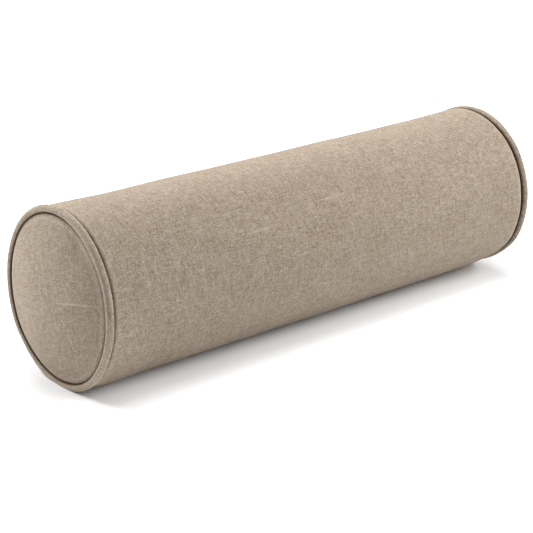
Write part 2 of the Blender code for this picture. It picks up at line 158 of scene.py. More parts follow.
def settle(point):
    """Rests a point of the filled cover: the ends lean a little, as a soft roll's do, their
    undersides tuck in and one lifts, and the rest sags and is pressed flat on the table."""
    x, y, z = point
    ramp = smooth_step((abs(x) - ZIP_HALF - 14 * MM) / (SEAM_X - ZIP_HALF - 14 * MM))
    end = 1 if x > 0 else -1
    x += (LEAN_ACROSS * y + LEAN_UP[end] * (z - AXIS_Z) - end * PRESSED_IN[end]) * ramp
    low = smooth_step((0.55 * BODY_RADIUS - z) / (0.5 * BODY_RADIUS))
    inside = smooth_step((SEAM_X - 6 * MM - abs(x)) / (16 * MM))
    x -= end * TUCKED_UNDER[end] * low * ramp
    sagged = z - (SAG + (SAG_INSIDE - SAG_SLOPE * x) * inside - LIFTED[end] * ramp) * low
    soft = 0.25 * MM
    return Vector((x, y, (sagged + math.sqrt(sagged * sagged + 4 * soft * soft)) / 2))


def on_form(x, angle, radius):
    """A point at this angle from the zip, going up over the top, at this radius."""
    turn = ZIP_ANGLE + angle
    return Vector((x, radius * math.cos(turn), AXIS_Z + radius * math.sin(turn)))


def lay_cloth(obj, place):
    """Writes where each corner lies on the flat cloth, in metres, as the piece's UV map."""
    layer = obj.data.uv_layers.get("Cloth") or obj.data.uv_layers.new(name="Cloth")
    for loop in obj.data.loops:
        layer.data[loop.index].uv = place(loop.vertex_index)
    keep_cloth_map(obj)


def keep_cloth_map(obj):
    for other in [item for item in obj.data.uv_layers if item.name != "Cloth"]:
        obj.data.uv_layers.remove(other)


def mark(obj, name, values):
    """Keeps one number per corner on the piece itself, for its finish to read."""
    kept = obj.data.attributes.new(name, "FLOAT", "POINT")
    kept.data.foreach_set("value", values)


# %% [markdown]
# ## How the looks are built
#
# Linen is a plain weave: warp and weft yarns go over and under each other, and no yarn is
# even. A picture of cloth would do, but a pattern worked out from the cloth's own
# coordinates stays sharp at any distance and follows every seam. The pattern is one node
# group, so that the cover, the piping and the ticking can share it at their own scales.

# %% Helpers for node trees
def feed(tree, socket, value):
    if isinstance(value, bpy.types.NodeSocket):
        tree.links.new(value, socket)
    else:
        socket.default_value = value


def calc(tree, operation, *values):
    node = tree.nodes.new("ShaderNodeMath")
    node.operation = operation
    for socket, value in zip(node.inputs, values):
        feed(tree, socket, value)
    return node.outputs[0]


def point_of(tree, x, y, z=0.0):
    node = tree.nodes.new("ShaderNodeCombineXYZ")
    for socket, value in zip(node.inputs, (x, y, z)):
        feed(tree, socket, value)
    return node.outputs[0]


def parts_of(tree, vector):
    node = tree.nodes.new("ShaderNodeSeparateXYZ")
    feed(tree, node.inputs[0], vector)
    return node.outputs


def clouds(tree, place, scale, detail=1.0, roughness=0.5):
    node = tree.nodes.new("ShaderNodeTexNoise")
    feed(tree, node.inputs["Vector"], place)
    node.inputs["Scale"].default_value = scale
    node.inputs["Detail"].default_value = detail
    node.inputs["Roughness"].default_value = roughness
    return node.outputs["Fac"]


def spread(tree, value, low, high, to_low=0.0, to_high=1.0):
    node = tree.nodes.new("ShaderNodeMapRange")
    for socket, item in zip(node.inputs, (value, low, high, to_low, to_high)):
        feed(tree, socket, item)
    return node.outputs[0]


def blend(tree, share, first, second):
    node = tree.nodes.new("ShaderNodeMix")
    node.data_type = "RGBA"
    feed(tree, node.inputs[0], share)
    feed(tree, node.inputs[6], first)
    feed(tree, node.inputs[7], second)
    return node.outputs[2]


def new_group(name, inputs, outputs):
    """A node group with these (name, kind, default) inputs and (name, kind) outputs."""
    tree = bpy.data.node_groups.new(name, "ShaderNodeTree")
    for title, kind, value in inputs:
        socket = tree.interface.new_socket(title, in_out="INPUT", socket_type="NodeSocket" + kind)
        if value is not None:
            socket.default_value = value
    for title, kind in outputs:
        tree.interface.new_socket(title, in_out="OUTPUT", socket_type="NodeSocket" + kind)
    return tree, tree.nodes.new("NodeGroupInput").outputs, tree.nodes.new("NodeGroupOutput").inputs


def use_group(tree, group, **values):
    node = tree.nodes.new("ShaderNodeGroup")
    node.node_tree = group
    for title, value in values.items():
        feed(tree, node.inputs[title.replace("_", " ")], value)
    return node.outputs


def new_finish(name, roughness=0.8, metallic=0.0, sheen=0.0):
    """A material with its shader's even values set, and its tree to draw the rest in."""
    made = bpy.data.materials.new(name)
    made.use_nodes = True
    shader = made.node_tree.nodes["Principled BSDF"]
    shader.inputs["Roughness"].default_value = roughness
    shader.inputs["Metallic"].default_value = metallic
    shader.inputs["Sheen Weight"].default_value = sheen
    shader.inputs["Sheen Roughness"].default_value = 0.45
    shader.inputs["Sheen Tint"].default_value = (1.0, 0.90, 0.80, 1)
    return made, made.node_tree, shader.inputs


def raise_surface(tree, shader, height, distance, strength=1.0):
    bump = tree.nodes.new("ShaderNodeBump")
    bump.inputs["Strength"].default_value = strength
    bump.inputs["Distance"].default_value = distance
    feed(tree, bump.inputs["Height"], height)
    feed(tree, shader["Normal"], bump.outputs[0])


def marked(tree, name):
    node = tree.nodes.new("ShaderNodeAttribute")
    node.attribute_name = name
    return node.outputs["Fac"]


def cloth_place(tree):
    node = tree.nodes.new("ShaderNodeUVMap")
    node.uv_map = "Cloth"
    return node.outputs[0]


# %% [markdown]
# ### The weave
#
# Dividing the cloth's coordinates by the pitch numbers every yarn. The whole part of that
# number picks the yarn, and the rest says where on it a point lies. Adding the two yarns'
# numbers and keeping the odd or even part says which of them is on top. Each yarn gets a
# tone of its own that drifts slowly along it, which is what makes linen look like linen.

# %% The weave as a node group
DRIFT_RATE, DASH_RATE, DASH_CONTRAST = 0.05, 0.17, 1.5
SLUB_RATE, SLUB_TONE, SLUB_RISE = 0.022, 0.14, 0.5
TOP_SHARE, TOP_SHIFT, LINE_SHARE = 0.66, 0.17, 0.30
CROSSING_CONTRAST = 0.74


def make_weave():
    tree, given, out = new_group(
        "plain_weave",
        [("Place", "Vector", None), ("Pitch", "Float", 1.1 * MM), ("Slubs", "Float", 1.0)],
        [("Tone", "Float"), ("Height", "Float"), ("Gap", "Float")],
    )
    place = parts_of(tree, given["Place"])
    along = calc(tree, "DIVIDE", place[0], given["Pitch"])
    across = calc(tree, "DIVIDE", place[1], given["Pitch"])
    weft_number = calc(tree, "FLOOR", along)
    warp_number = calc(tree, "FLOOR", across)
    in_weft = calc(tree, "SUBTRACT", calc(tree, "FRACT", along), 0.5)
    in_warp = calc(tree, "SUBTRACT", calc(tree, "FRACT", across), 0.5)
    round_warp = calc(tree, "COSINE", calc(tree, "MULTIPLY", in_warp, math.pi))
    round_weft = calc(tree, "COSINE", calc(tree, "MULTIPLY", in_weft, math.pi))
    both = calc(tree, "ADD", weft_number, warp_number)
    warp_up = calc(tree, "FLOORED_MODULO", both, 2.0)
    sign = calc(tree, "SUBTRACT", calc(tree, "MULTIPLY", warp_up, 2.0), 1.0)

    def yarn_height(round_here, round_other, up):
        rise = calc(tree, "MULTIPLY_ADD", calc(tree, "MULTIPLY", round_other, up), 0.5, 0.5)
        return calc(tree, "MULTIPLY", round_here, rise)

    warp_height = yarn_height(round_warp, round_weft, sign)
    weft_height = yarn_height(round_weft, round_warp, calc(tree, "MULTIPLY", sign, -1.0))

    def yarn_tone(number, running, offset):
        beside = calc(tree, "MULTIPLY", number, 3.71)
        slow = calc(tree, "MULTIPLY", running, DRIFT_RATE)
        quick = calc(tree, "MULTIPLY", running, DASH_RATE)
        drift = clouds(tree, point_of(tree, slow, beside, offset), 1.0)
        dash = clouds(tree, point_of(tree, quick, beside, offset + 7.0), 1.0)
        return calc(tree, "MULTIPLY_ADD", calc(tree, "SUBTRACT", dash, 0.5), DASH_CONTRAST, drift)

    def thick_places(number, running, offset):
        slow = calc(tree, "MULTIPLY", running, SLUB_RATE)
        spot = point_of(tree, slow, calc(tree, "MULTIPLY", number, 2.37), offset)
        return spread(tree, clouds(tree, spot, 1.0, detail=0.0), 0.72, 0.84)

    warp_tone = yarn_tone(warp_number, along, 3.0)
    weft_tone = yarn_tone(weft_number, across, 41.0)
    warp_slub = thick_places(warp_number, along, 17.0)
    weft_slub = thick_places(weft_number, across, 71.0)
    top = calc(tree, "GREATER_THAN", warp_height, weft_height)
    tone = calc(tree, "ADD", calc(tree, "MULTIPLY", top, warp_tone),
                calc(tree, "MULTIPLY", calc(tree, "SUBTRACT", 1.0, top), weft_tone))
    lines = calc(tree, "SUBTRACT", calc(tree, "ADD", warp_tone, weft_tone), 1.0)
    tone = calc(tree, "MULTIPLY_ADD", tone, TOP_SHARE, TOP_SHIFT)
    tone = calc(tree, "MULTIPLY_ADD", lines, LINE_SHARE, tone)
    slub = calc(tree, "MULTIPLY", calc(tree, "MAXIMUM", warp_slub, weft_slub), given["Slubs"])
    height = calc(tree, "MAXIMUM", warp_height, weft_height)
    dice = tree.nodes.new("ShaderNodeTexWhiteNoise")
    dice.noise_dimensions = "2D"
    feed(tree, dice.inputs["Vector"], point_of(tree, weft_number, warp_number))
    crossing = calc(tree, "SUBTRACT", dice.outputs["Value"], 0.5)
    tone = calc(tree, "MULTIPLY_ADD", crossing, CROSSING_CONTRAST, tone)
    feed(tree, out["Tone"], calc(tree, "MULTIPLY_ADD", slub, SLUB_TONE, tone))
    feed(tree, out["Height"], calc(tree, "MULTIPLY_ADD", slub, SLUB_RISE, height))
    feed(tree, out["Gap"], spread(tree, height, 0.25, 0.75, 1.0, 0.0))
    return tree


plain_weave = make_weave()
print("weave nodes:", len(plain_weave.nodes))

# %% [markdown]
# ### Uneven dyeing, streaks and single thick yarns
#
# A second group adds what is larger than a yarn: bundles of yarns that took the dye
# lighter or darker, and soft blotches. A third draws one thick yarn at a chosen place,
# because the eye finds the few that stand out.

# %% Streaks and single slubs as node groups
def make_streaks():
    tree, given, out = new_group(
        "dye_streaks", [("Place", "Vector", None)], [("Tone", "Float")]
    )
    place = parts_of(tree, given["Place"])
    parts = []
    for long_way, short_way, share, offset in (
        (40, 420, 0.30, 1.0), (420, 40, 0.30, 9.0), (95, 700, 0.2, 5.0),
        (700, 95, 0.2, 13.0), (70, 300, 0.26, 21.0), (300, 70, 0.26, 29.0),
    ):
        x = calc(tree, "MULTIPLY", place[0], float(long_way))
        y = calc(tree, "MULTIPLY", place[1], float(short_way))
        streak = clouds(tree, point_of(tree, x, y, offset), 1.0, detail=1.0)
        parts.append(calc(tree, "MULTIPLY", calc(tree, "SUBTRACT", streak, 0.5), share))
    blotch = clouds(tree, given["Place"], 22.0, detail=3.0)
    total = calc(tree, "MULTIPLY", calc(tree, "SUBTRACT", blotch, 0.5), 0.34)
    for part in parts:
        total = calc(tree, "ADD", total, part)
    feed(tree, out["Tone"], total)
    return tree


def make_single_slub():
    tree, given, out = new_group(
        "single_slub",
        [("Place", "Vector", None), ("Middle", "Vector", None), ("Reach", "Vector", None)],
        [("Mask", "Float")],
    )
    place, middle, reach = (parts_of(tree, given[key]) for key in ("Place", "Middle", "Reach"))
    squares = []
    for axis in (0, 1):
        away = calc(tree, "DIVIDE", calc(tree, "SUBTRACT", place[axis], middle[axis]), reach[axis])
        squares.append(calc(tree, "MULTIPLY", away, away))
    mask = spread(tree, calc(tree, "ADD", *squares), 0.2, 1.0, 1.0, 0.0)
    feed(tree, out["Mask"], mask)
    return tree


dye_streaks, single_slub = make_streaks(), make_single_slub()
print("streak nodes:", len(dye_streaks.nodes), "slub nodes:", len(single_slub.nodes))

# %% [markdown]
# ### The linen
#
# One function makes every linen finish, so that the cover, its ends and the piping are
# plainly one cloth. The colour is a blend of a dark and a light yarn by tone, darker in
# the gaps between yarns. Each piece also carries painted shade in its seams and grooves
# and painted highlights along its edges, which darken or lighten the colour. The raised
# weave goes to the normal, and a little sheen stands for the fine hairs that catch light
# at the edges.

# %% Linen finishes
DARK_YARN = (0.213, 0.157, 0.109, 1)
LIGHT_YARN = (0.576, 0.482, 0.384, 1)
GAP_SHADE = (0.105, 0.075, 0.050, 1)
SEAM_SHADE = (0.066, 0.036, 0.017, 1)
YARN_CONTRAST, STREAK_CONTRAST, PAINTED_LIGHT_SHARE = 0.70, 0.50, 0.3
GAP_SHARE, WEAVE_RELIEF = 0.35, 0.22 * MM


def make_linen(name, pitch=1.1 * MM, slubs=(), slub_tone=0.26):
    finish, tree, shader = new_finish(name, roughness=0.92, sheen=0.14)
    shader["Specular IOR Level"].default_value = 0.2
    place = cloth_place(tree)
    weave = use_group(tree, plain_weave, Place=place, Pitch=pitch)
    streaks = use_group(tree, dye_streaks, Place=place)["Tone"]
    tone = calc(tree, "SUBTRACT", weave["Tone"], 0.5)
    streaked = calc(tree, "MULTIPLY_ADD", streaks, STREAK_CONTRAST, 0.5)
    tone = calc(tree, "MULTIPLY_ADD", tone, YARN_CONTRAST, streaked)
    # Painted light: the tone is raised where a piece marks a painted highlight and lowered where it
    # marks painted shade.
    tone = calc(tree, "MULTIPLY_ADD", marked(tree, "painted_light"), PAINTED_LIGHT_SHARE, tone)
    height = weave["Height"]
    for middle, reach in slubs:
        mask = use_group(tree, single_slub, Place=place, Middle=middle, Reach=reach)["Mask"]
        tone = calc(tree, "MULTIPLY_ADD", mask, slub_tone, tone)
        height = calc(tree, "MULTIPLY_ADD", mask, 0.8, height)
    colour = blend(tree, spread(tree, tone, 0.0, 1.0), DARK_YARN, LIGHT_YARN)
    colour = blend(tree, calc(tree, "MULTIPLY", weave["Gap"], GAP_SHARE), colour, GAP_SHADE)
    colour = blend(tree, marked(tree, "seam_shade"), colour, SEAM_SHADE)
    feed(tree, shader["Base Color"], colour)
    feed(tree, shader["Roughness"], spread(tree, weave["Height"], 0.0, 1.0, 0.98, 0.86))
    raise_surface(tree, shader, height, WEAVE_RELIEF, 0.7)
    return finish


def make_plain(name, low, high, scale, roughness, bump, sheen=0.0, metallic=0.0):
    """A finish whose tone drifts between two colours, with a fine roughness to match."""
    finish, tree, shader = new_finish(name, roughness=roughness, metallic=metallic, sheen=sheen)
    place = tree.nodes.new("ShaderNodeTexCoord").outputs["Object"]
    tone = clouds(tree, place, scale, detail=4.0, roughness=0.6)
    colour = blend(tree, spread(tree, tone, 0.3, 0.7), (*low, 1), (*high, 1))
    feed(tree, shader["Base Color"], colour)
    rough, smooth = roughness + 0.06, roughness - 0.06
    feed(tree, shader["Roughness"], spread(tree, tone, 0.3, 0.7, rough, smooth))
    raise_surface(tree, shader, tone, bump, 0.6)
    return finish


def make_ticking():
    """Bleached cotton in a much finer weave than the cover."""
    finish, tree, shader = new_finish("cotton", roughness=0.85, sheen=0.1)
    weave = use_group(tree, plain_weave, Place=cloth_place(tree), Pitch=0.5 * MM, Slubs=0.0)
    tone = spread(tree, weave["Tone"], 0.2, 0.8)
    colour = blend(tree, tone, (0.66, 0.62, 0.54, 1), (0.80, 0.77, 0.70, 1))
    feed(tree, shader["Base Color"], colour)
    raise_surface(tree, shader, weave["Height"], 0.08 * MM, 0.6)
    return finish


def make_tape_weave():
    """Twill tape: fine ribs that slant one way, in the cover's colour."""
    finish, tree, shader = new_finish("zip_tape", roughness=0.8, sheen=0.15)
    place = parts_of(tree, tree.nodes.new("ShaderNodeTexCoord").outputs["Object"])
    run = calc(tree, "MULTIPLY", place[0], 4200.0)
    rise = calc(tree, "MULTIPLY", place[2], 5200.0)
    slant = calc(tree, "ADD", run, rise)
    rib = calc(tree, "MULTIPLY_ADD", calc(tree, "SINE", slant), 0.5, 0.5)
    colour = blend(tree, rib, (0.17, 0.13, 0.095, 1), (0.33, 0.27, 0.20, 1))
    feed(tree, shader["Base Color"], colour)
    raise_surface(tree, shader, rib, 0.12 * MM, 0.8)
    return finish


cotton, tape_weave = make_ticking(), make_tape_weave()
cord_cotton = make_plain(
    "cord_cotton", (0.58, 0.53, 0.44), (0.74, 0.70, 0.62), 900, 0.9, 0.2 * MM)
wadding = make_plain(
    "wadding", (0.78, 0.78, 0.77), (0.90, 0.90, 0.89), 160, 0.95, 1.2 * MM, sheen=0.3)
foam = make_plain("foam", (0.70, 0.62, 0.40), (0.80, 0.73, 0.52), 700, 0.9, 0.5 * MM)
coil_nylon = make_plain(
    "zip_coil", (0.20, 0.15, 0.11), (0.26, 0.20, 0.15), 300, 0.38, 0.02 * MM)
thread = make_plain(
    "thread", (0.24, 0.185, 0.13), (0.36, 0.285, 0.205), 2500, 0.7, 0.05 * MM, sheen=0.2)
linen_cut = make_plain(
    "linen_cut", (0.28, 0.22, 0.16), (0.46, 0.38, 0.29), 600, 0.92, 0.1 * MM)
bronze = make_plain(
    "zip_metal", (0.10, 0.065, 0.038), (0.27, 0.19, 0.115), 260, 0.36, 0.03 * MM, metallic=1.0)
SLEEVE_SLUBS = [
    ((-279 * MM, 255 * MM, 0), (1.2 * MM, 24 * MM, 1)),
    ((-205 * MM, 266 * MM, 0), (1.2 * MM, 18 * MM, 1)),
    ((6 * MM, 228 * MM, 0), (29 * MM, 1.3 * MM, 1)),
    ((-112 * MM, 244 * MM, 0), (22 * MM, 1.2 * MM, 1)),
    ((-56 * MM, 283 * MM, 0), (17 * MM, 1.2 * MM, 1)),
    ((115 * MM, 211 * MM, 0), (18 * MM, 1.2 * MM, 1)),
]
END_SLUBS = [((-53 * MM, -0.5 * MM, 0), (42 * MM, 1.4 * MM, 1))]
linen = make_linen("linen", slubs=SLEEVE_SLUBS)
linen_end = make_linen("linen_end", slubs=END_SLUBS, slub_tone=0.42)
linen_piping = make_linen("linen_piping", pitch=1.0 * MM)
print("linen finishes:", linen.name, linen_end.name, linen_piping.name)

# %% [markdown]
# ## The cover's sleeve
#
# The real sleeve is a rectangle of linen rolled into a tube. Its two long edges are
# turned under and meet along the back, where the zip is sewn in, and its ends are turned
# in behind the piping. So the mesh starts as a grid, as the cloth does, and each row and
# column is laid on the form: the columns run from seam to seam, the rows go round from
# one folded edge to the other.
#
# A turned profile would be quicker, but it would have no edges to fold and no straight
# grain to lay the weave on.

# %% Where the columns and rows go
GROOVES = {-1: 1.7 * MM, 1: 2.7 * MM}


def half_columns(side):
    """(x, drop) from the middle to one seam: drop is how far the skin lies below the form."""
    shoulder, turn = [], 3.2 * MM
    edge = SEAM_X - PIPE_RADIUS - GROOVES[side]
    for step in range(6):
        angle = math.radians(90) * step / 5
        shoulder.append((edge - turn + turn * math.sin(angle), turn * (1 - math.cos(angle))))
    shoulder += [(edge + 0.4 * MM, turn + 1.6 * MM), (edge + 1.6 * MM, turn + 3.6 * MM)]
    shoulder.append((edge + 3.6 * MM, turn + 6.4 * MM))
    zip_end = [ZIP_HALF + step * 3.5 * MM for step in (-1.0, 0.0, 1.0, 2.0)]
    plain = [zip_end[0] * step / 24 for step in range(24)]
    past, count = zip_end[-1], 6
    reach = shoulder[0][0] - past
    plain_end = [past + reach * step / (count + 1) for step in range(1, count + 1)]
    level = [(x, 0.0) for x in plain[1:] + zip_end + plain_end]
    return [(side * x, drop) for x, drop in level + shoulder]


STITCH_DENT = 0.5 * MM


def sleeve_rows():
    """(side, kind, value): folded rows are (across, drop) beside the zip, plain ones angles."""
    fold = 0.75 * MM
    folded = [(9.0 * MM, 2 * fold), (5.0 * MM, 2 * fold), (2.2 * MM, 2 * fold)]
    for step in range(5):
        angle = math.radians(180) * (1 - step / 4)
        folded.append((fold * (1 - math.sin(angle)), fold * (1 - math.cos(angle))))
    folded += [(2.4 * MM, 0.0), (3.0 * MM, 0.05 * MM), (3.6 * MM, STITCH_DENT)]
    folded += [(4.2 * MM, 0.05 * MM), (5.0 * MM, 0.0)]
    start = (SLIT_HALF + 7.4 * MM) / BODY_RADIUS
    count = 114
    plain = [start + (2 * math.pi - 2 * start) * step / (count - 1) for step in range(count)]
    return [(1, "fold", pair) for pair in folded] + [(0, "plain", angle) for angle in plain] + [
        (-1, "fold", pair) for pair in folded[::-1]
    ]


columns, rows = half_columns(-1)[::-1] + [(0.0, 0.0)] + half_columns(1), sleeve_rows()
print("sleeve grid:", len(columns), "columns,", len(rows), "rows")


# %% Roll the cloth round the form
def slit_half(x):
    """Half the width of the zip's slit: open along the zip, sewn shut past its ends."""
    shut = smooth_step((abs(x) - ZIP_HALF + 1.8 * MM) / (5.3 * MM))
    return SLIT_HALF * (1 - shut) + 0.05 * MM * shut


def unevenness(x, angle):
    """The small hollows and swells of a filled cover, about half a millimetre."""
    spot = Vector((x * 14, math.cos(angle) * 1.6, math.sin(angle) * 1.6))
    return 0.55 * MM * noise.noise(spot) + 0.2 * MM * noise.noise(spot * 2.7)


def gathers(x, angle):
    """Fine puckers where the stitches draw the cloth up beside the piping."""
    away = SEAM_X - abs(x)
    side = 5.0 if x > 0 else 11.0
    wave = noise.noise(Vector((math.cos(angle) * 9 + side, math.sin(angle) * 9, side)))
    return 0.55 * MM * wave * math.exp(-(away / (9 * MM)))


def place_sleeve(column, row):
    x, drop = columns[column]
    side, kind, value = rows[row]
    base = body_radius(x) - drop
    if kind == "fold":
        across, sunk = value
        half = slit_half(x)
        if sunk == STITCH_DENT:
            sunk *= 1 - smooth_step((abs(x) - ZIP_HALF - 6 * MM) / (4 * MM))
        shift = side * (half + across) / BODY_RADIUS
        return on_form(x, shift if side > 0 else 2 * math.pi + shift, base - sunk)
    held = smooth_step(min(value, 2 * math.pi - value) / 0.2)
    skin = base + (unevenness(x, value) + gathers(x, value)) * held
    return on_form(x, value, skin)


def roll_grid(name, count_x, count_y, place):
    deselect()
    bpy.ops.mesh.primitive_grid_add(x_subdivisions=count_x - 1, y_subdivisions=count_y - 1, size=1)
    obj = bpy.context.object
    obj.name = name
    numbers = []
    for vertex in obj.data.vertices:
        column = round((vertex.co.x + 0.5) * (count_x - 1))
        row = round((vertex.co.y + 0.5) * (count_y - 1))
        numbers.append((column, row))
        vertex.co = place(column, row)
    return obj, numbers


sleeve, sleeve_numbers = roll_grid("cover_body", len(columns), len(rows), place_sleeve)
row_across = []
for side, kind, value in rows:
    flat = value * BODY_RADIUS if kind == "plain" else (SLIT_HALF + value[0]) * side
    whole = 2 * math.pi * BODY_RADIUS if side < 0 else 0.0
    row_across.append(flat + whole)
lay_cloth(sleeve, lambda index: (
    columns[sleeve_numbers[index][0]][0], row_across[sleeve_numbers[index][1]]))
# Painted shade in the grooves beside the piping, on the folds and along the stitch line, and a
# painted highlight along the turned edge by the piping.
shades, painted_lights = [], []
for column, row in sleeve_numbers:
    x, drop = columns[column]
    end = 1 if x > 0 else -1
    to_edge = SEAM_X - PIPE_RADIUS - GROOVES[end] - abs(x)
    deep = smooth_step((drop - (1.6 - 0.7 * end) * MM) / (2.6 * MM))
    folded = 0.0
    if rows[row][1] == "fold":
        sunk = rows[row][2][1]
        stitched = sunk == STITCH_DENT and abs(x) < ZIP_HALF
        folded = 0.8 if sunk > 0.8 * MM else 0.3 * stitched
    shades.append(max(deep, folded))
    # Painted highlight where the turned edge catches the light.
    painted_lights.append(math.exp(-(((to_edge - 1.2 * MM) / (2.0 * MM)) ** 2)) * (1 - deep))
mark(sleeve, "seam_shade", shades)
mark(sleeve, "painted_light", painted_lights)
outwards = sum(1 for face in sleeve.data.polygons
               if face.normal.yz.dot((face.center - Vector((0, 0, AXIS_Z))).yz) > 0)
if outwards < len(sleeve.data.polygons) / 2:
    sleeve.data.flip_normals()
print("sleeve faces:", len(sleeve.data.polygons), "facing out:", outwards)

# %% [markdown]
# ### Fill it
#
# The insert presses the cover out from inside. Blender's cloth simulation does the same:
# the sewn edges are held, a little pressure pushes the rest, and the cloth finds its own
# small swells between them. How far a point may move is limited, so that the cover keeps
# the size it was cut to.

# %% Fill a piece by simulation
def fill_out(obj, held, pressure, most):
    """Presses obj out with the held points fixed, and lets no point move more than most."""
    start = [vertex.co.copy() for vertex in obj.data.vertices]
    pins = obj.vertex_groups.new(name="held")
    pins.add(held, 1.0, "REPLACE")
    take(obj)
    cloth = obj.modifiers.new("filling", "CLOTH")
    cloth.settings.quality = 5
    cloth.settings.mass = 0.25
    cloth.settings.tension_stiffness = 40
    cloth.settings.compression_stiffness = 40
    cloth.settings.bending_stiffness = 2.0
    cloth.settings.vertex_group_mass = "held"
    cloth.settings.use_pressure = True
    cloth.settings.uniform_pressure_force = pressure
    cloth.settings.effector_weights.gravity = 0
    cloth.point_cache.frame_start, cloth.point_cache.frame_end = 1, 20
    for number in range(1, 21):
        bpy.context.scene.frame_set(number)
    bpy.ops.object.modifier_apply(modifier=cloth.name)
    obj.vertex_groups.clear()
    bpy.context.scene.frame_set(1)
    moves = []
    for vertex, before in zip(obj.data.vertices, start):
        move = vertex.co - before
        moves.append(move.length)
        if move.length > 1e-9:
            vertex.co = before + move * (most * math.tanh(move.length / most) / move.length)
    print(obj.name, "moved at most", round(max(moves) / MM, 2), "mm, kept within",
          round(most / MM, 2))


held = [index for index, (column, row) in enumerate(sleeve_numbers)
        if rows[row][1] == "fold" or column < 9 or column > len(columns) - 10]
fill_out(sleeve, held, pressure=2.0, most=0.9 * MM)
for vertex in sleeve.data.vertices:
    vertex.co = settle(vertex.co)
apply_modifier(sleeve, "SUBSURF", levels=1, render_levels=1)
apply_modifier(sleeve, "SOLIDIFY", thickness=CLOTH, offset=-1, use_even_offset=True)
finish_piece(sleeve, "cover_body", linen, stands_for=("cover_sleeve",))

# %% [markdown]
# ## The end panels
#
# Each end is a disc of the same linen, held round its edge by the seam and pushed out by
# the insert. A disc cut into rings has a pole in its middle, which shows on smooth cloth.
# A square grid pulled round into a disc has none, and its lines are the straight grain
# of the cloth, so that is what is used.

# %% Crown the ends
PANEL_CELLS = 68
GRAIN = math.radians(-13.3)
CROWN_POWER, CROWN_EDGE = 2.0, 1.1
DENTS = {
    -1: [(-48 * MM, 66 * MM, 2.2 * MM), (-12 * MM, -22 * MM, 0.5 * MM)],
    1: [(40 * MM, 58 * MM, 1.2 * MM)],
}


def crown_bulge(share):
    """How far the crown stands out, from 1 in the middle to 0 at the seam."""
    share = min(share, 1.0)
    return (1 - share**CROWN_POWER) ** (1 / CROWN_EDGE)


def place_panel(side, seed):
    middle = (PANEL_CELLS - 1) / 2

    def place(column, row):
        a, b = (column - middle) / middle, (row - middle) / middle
        y, z = a * math.sqrt(1 - b * b / 2), b * math.sqrt(1 - a * a / 2)
        share = min(math.hypot(y, z), 1.0)
        angle = math.atan2(z, y)
        bulge = crown_bulge(share)
        spot = Vector((y * 2.2 + seed, z * 2.2, seed))
        uneven = 0.7 * MM * noise.noise(spot) * bulge
        pull = noise.noise(Vector((math.cos(angle) * 5 + seed, math.sin(angle) * 5, 2.0)))
        radial = 0.5 * MM * pull * (1 - bulge) * share
        dent = 0.0
        for at_y, at_z, deep in DENTS[side]:
            away = math.hypot(y * RIM_RADIUS - at_y, z * RIM_RADIUS - at_z) / (16 * MM)
            dent += deep * math.exp(-(away**2)) * smooth_step((1 - share) / 0.1)
        x = side * (RIM_X + PANEL_CROWN * bulge + uneven - dent)
        radius = RIM_RADIUS + radial * (1 - share**8)
        return Vector((x, y * radius, AXIS_Z + z * radius))

    return place


def make_end_panel(name, side, seed, finish, node):
    panel, numbers = roll_grid(name, PANEL_CELLS, PANEL_CELLS, place_panel(side, seed))
    cell = 2 * RIM_RADIUS / (PANEL_CELLS - 1)
    half = (PANEL_CELLS - 1) / 2

    def on_grain(index):
        a, b = (numbers[index][0] - half) * cell, (numbers[index][1] - half) * cell
        return (a * math.cos(GRAIN) + b * math.sin(GRAIN),
                b * math.cos(GRAIN) - a * math.sin(GRAIN))

    lay_cloth(panel, on_grain)
    if panel.data.polygons[0].normal.x * side < 0:
        panel.data.flip_normals()
    last = PANEL_CELLS - 1
    rim = [index for index, (column, row) in enumerate(numbers)
           if min(column, row) < 2 or max(column, row) > last - 2]
    fill_out(panel, rim, pressure=1.5, most=0.8 * MM)
    turn_in_edge(panel, side)
    # Painted shade round the rim and where the edge tucks into the seam, and a painted highlight in
    # a narrow ring just inside the rim.
    shares = [math.hypot(v.co.y, v.co.z - AXIS_Z) / RIM_RADIUS for v in panel.data.vertices]
    tucked = [max(0.0, RIM_X + 0.2 * MM - side * v.co.x) for v in panel.data.vertices]
    mark(panel, "seam_shade", [
        max(smooth_step((share - 0.984) / 0.016) * 0.75, smooth_step(sunk / (0.8 * MM)) * 0.9)
        for share, sunk in zip(shares, tucked)
    ])
    mark(panel, "painted_light", [0.8 * math.exp(-(((share - 0.945) / 0.02) ** 2)) for share in shares])
    for vertex in panel.data.vertices:
        vertex.co = settle(vertex.co)
    apply_modifier(panel, "SUBSURF", levels=1, render_levels=1)
    apply_modifier(panel, "SOLIDIFY", thickness=CLOTH, offset=-1, use_even_offset=True)
    finish_piece(panel, name, finish, stands_for=(node,))


def turn_in_edge(panel, side):
    """Extrudes the rim twice, down into the seam behind the piping."""
    take(panel)
    for sink, inwards in ((1.6 * MM, 0.9 * MM), (2.6 * MM, 3.0 * MM)):
        bpy.ops.object.mode_set(mode="EDIT")
        bpy.ops.mesh.select_mode(type="EDGE")
        bpy.ops.mesh.select_all(action="DESELECT")
        bpy.ops.mesh.select_non_manifold()
        bpy.ops.mesh.extrude_edges_move(TRANSFORM_OT_translate={"value": (-side * sink, 0, 0)})
        share = 1 - inwards / RIM_RADIUS
        bpy.ops.transform.resize(value=(1, share, share), center_override=(0, 0, AXIS_Z))
        bpy.ops.object.mode_set(mode="OBJECT")


make_end_panel("left_end_linen", -1, 3.1, linen_end, "left_end_panel")
make_end_panel("right_end_linen", 1, 8.7, linen_end, "right_end_panel")

# %% [markdown]
# ## The piping
#
# Piping is a strip of linen, cut at 45 degrees to the grain so that it bends without
# puckering, folded round a cotton cord and caught in the seam. A torus is the right
# start. Its section is then made a little squarer, because the cloth is pulled tight
# over the cord and flattens beside the seams, and it wavers slightly along its way.

